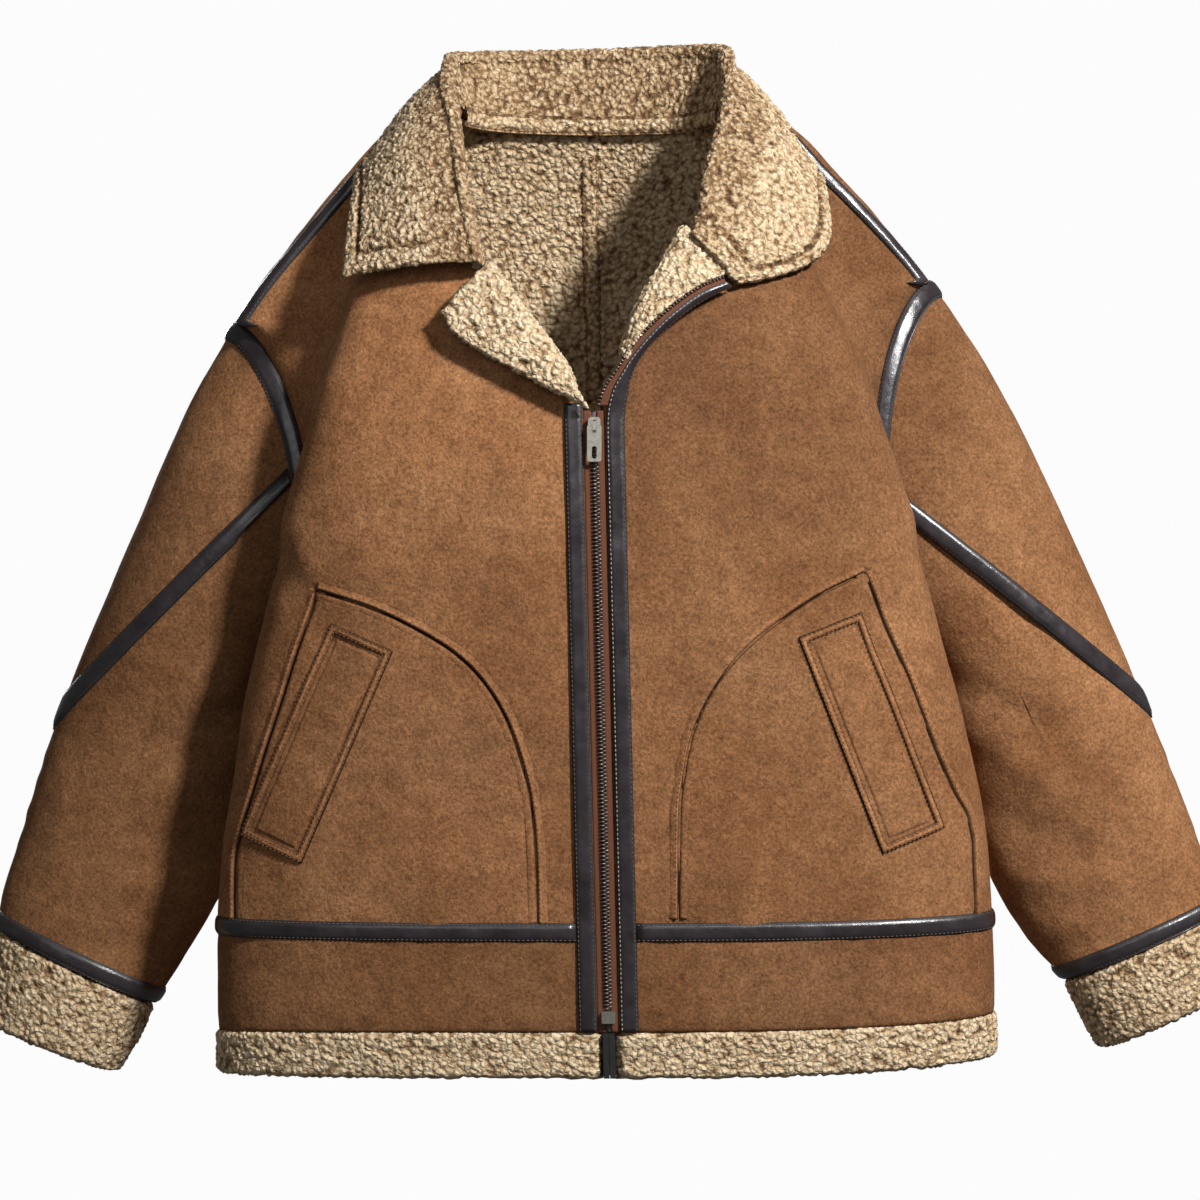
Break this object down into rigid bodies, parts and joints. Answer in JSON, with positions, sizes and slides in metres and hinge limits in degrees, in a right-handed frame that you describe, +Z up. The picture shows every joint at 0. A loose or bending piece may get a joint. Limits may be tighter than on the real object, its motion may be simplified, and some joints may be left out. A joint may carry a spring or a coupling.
{
  "type": "sherpa lined jacket",
  "caption": "Suede-look zip jacket filled out as if worn, with a pile lining, large turned-down collar, lapels, leather-look bindings, welt pockets, pile cuffs and hem.",
  "frame": {"origin": "in the middle of the neck opening, level with the back neck seam: where a neck or a hanger's hook is", "axes": "+X to the wearer's left, +Z up towards the collar, front of the jacket towards -Y"},
  "size_m": [0.9729, 0.2606, 0.7951],
  "materials": {
    "suede": "matte",
    "sherpa": "matte",
    "leather": "gloss",
    "zip_cloth": "matte",
    "zip_metal": "satin"
  },
  "bodies": {
    "jacket": {"pocket_panel_right": "suede", "pocket_panel_left": "suede", "front_right": "suede", "front_left": "suede", "back_right": "suede", "back_left": "suede", "lapel_right": "sherpa", "lapel_left": "sherpa", "sleeve_front_right": "suede", "sleeve_front_left": "suede", "sleeve_back_right": "suede", "sleeve_back_left": "suede", "sleeve_cap_right": "suede", "sleeve_cap_left": "suede", "armhole_binding_right": "leather", "armhole_binding_left": "leather", "sleeve_binding_right": "leather", "sleeve_binding_left": "leather", "cuff_binding_right": "leather", "cuff_binding_left": "leather", "cuff_right": "sherpa", "cuff_left": "sherpa", "shoulder_binding_right": "leather", "shoulder_binding_left": "leather", "welt_right": "leather", "welt_left": "leather", "waist_front_right": "suede", "waist_front_left": "suede", "hem_front_right": "sherpa", "hem_front_left": "sherpa", "waist_binding_right": "leather", "waist_binding_left": "leather", "hem_tab_right": "leather", "hem_tab_left": "leather", "placket_binding_right": "leather", "placket_binding_left": "leather", "zip_tape_right": "zip_cloth", "zip_tape_left": "zip_cloth", "collar": "sherpa", "waist_back": "suede", "hem_back": "sherpa", "waist_binding_back": "leather", "back_seam_tape": "sherpa", "neck_tape": "sherpa", "zip_chain": "zip_metal", "zip_slider": "zip_metal", "zip_box": "zip_metal"},
    "pull": {"zip_pull": "zip_metal"}
  },
  "joints": [
    {"name": "pull_swing", "type": "hinge", "parent": "jacket", "child": "pull", "pos_m": [-0.0042, -0.125, -0.2394], "axis": [-1, 0, 0], "range_deg": [0, 100]}
  ]
}
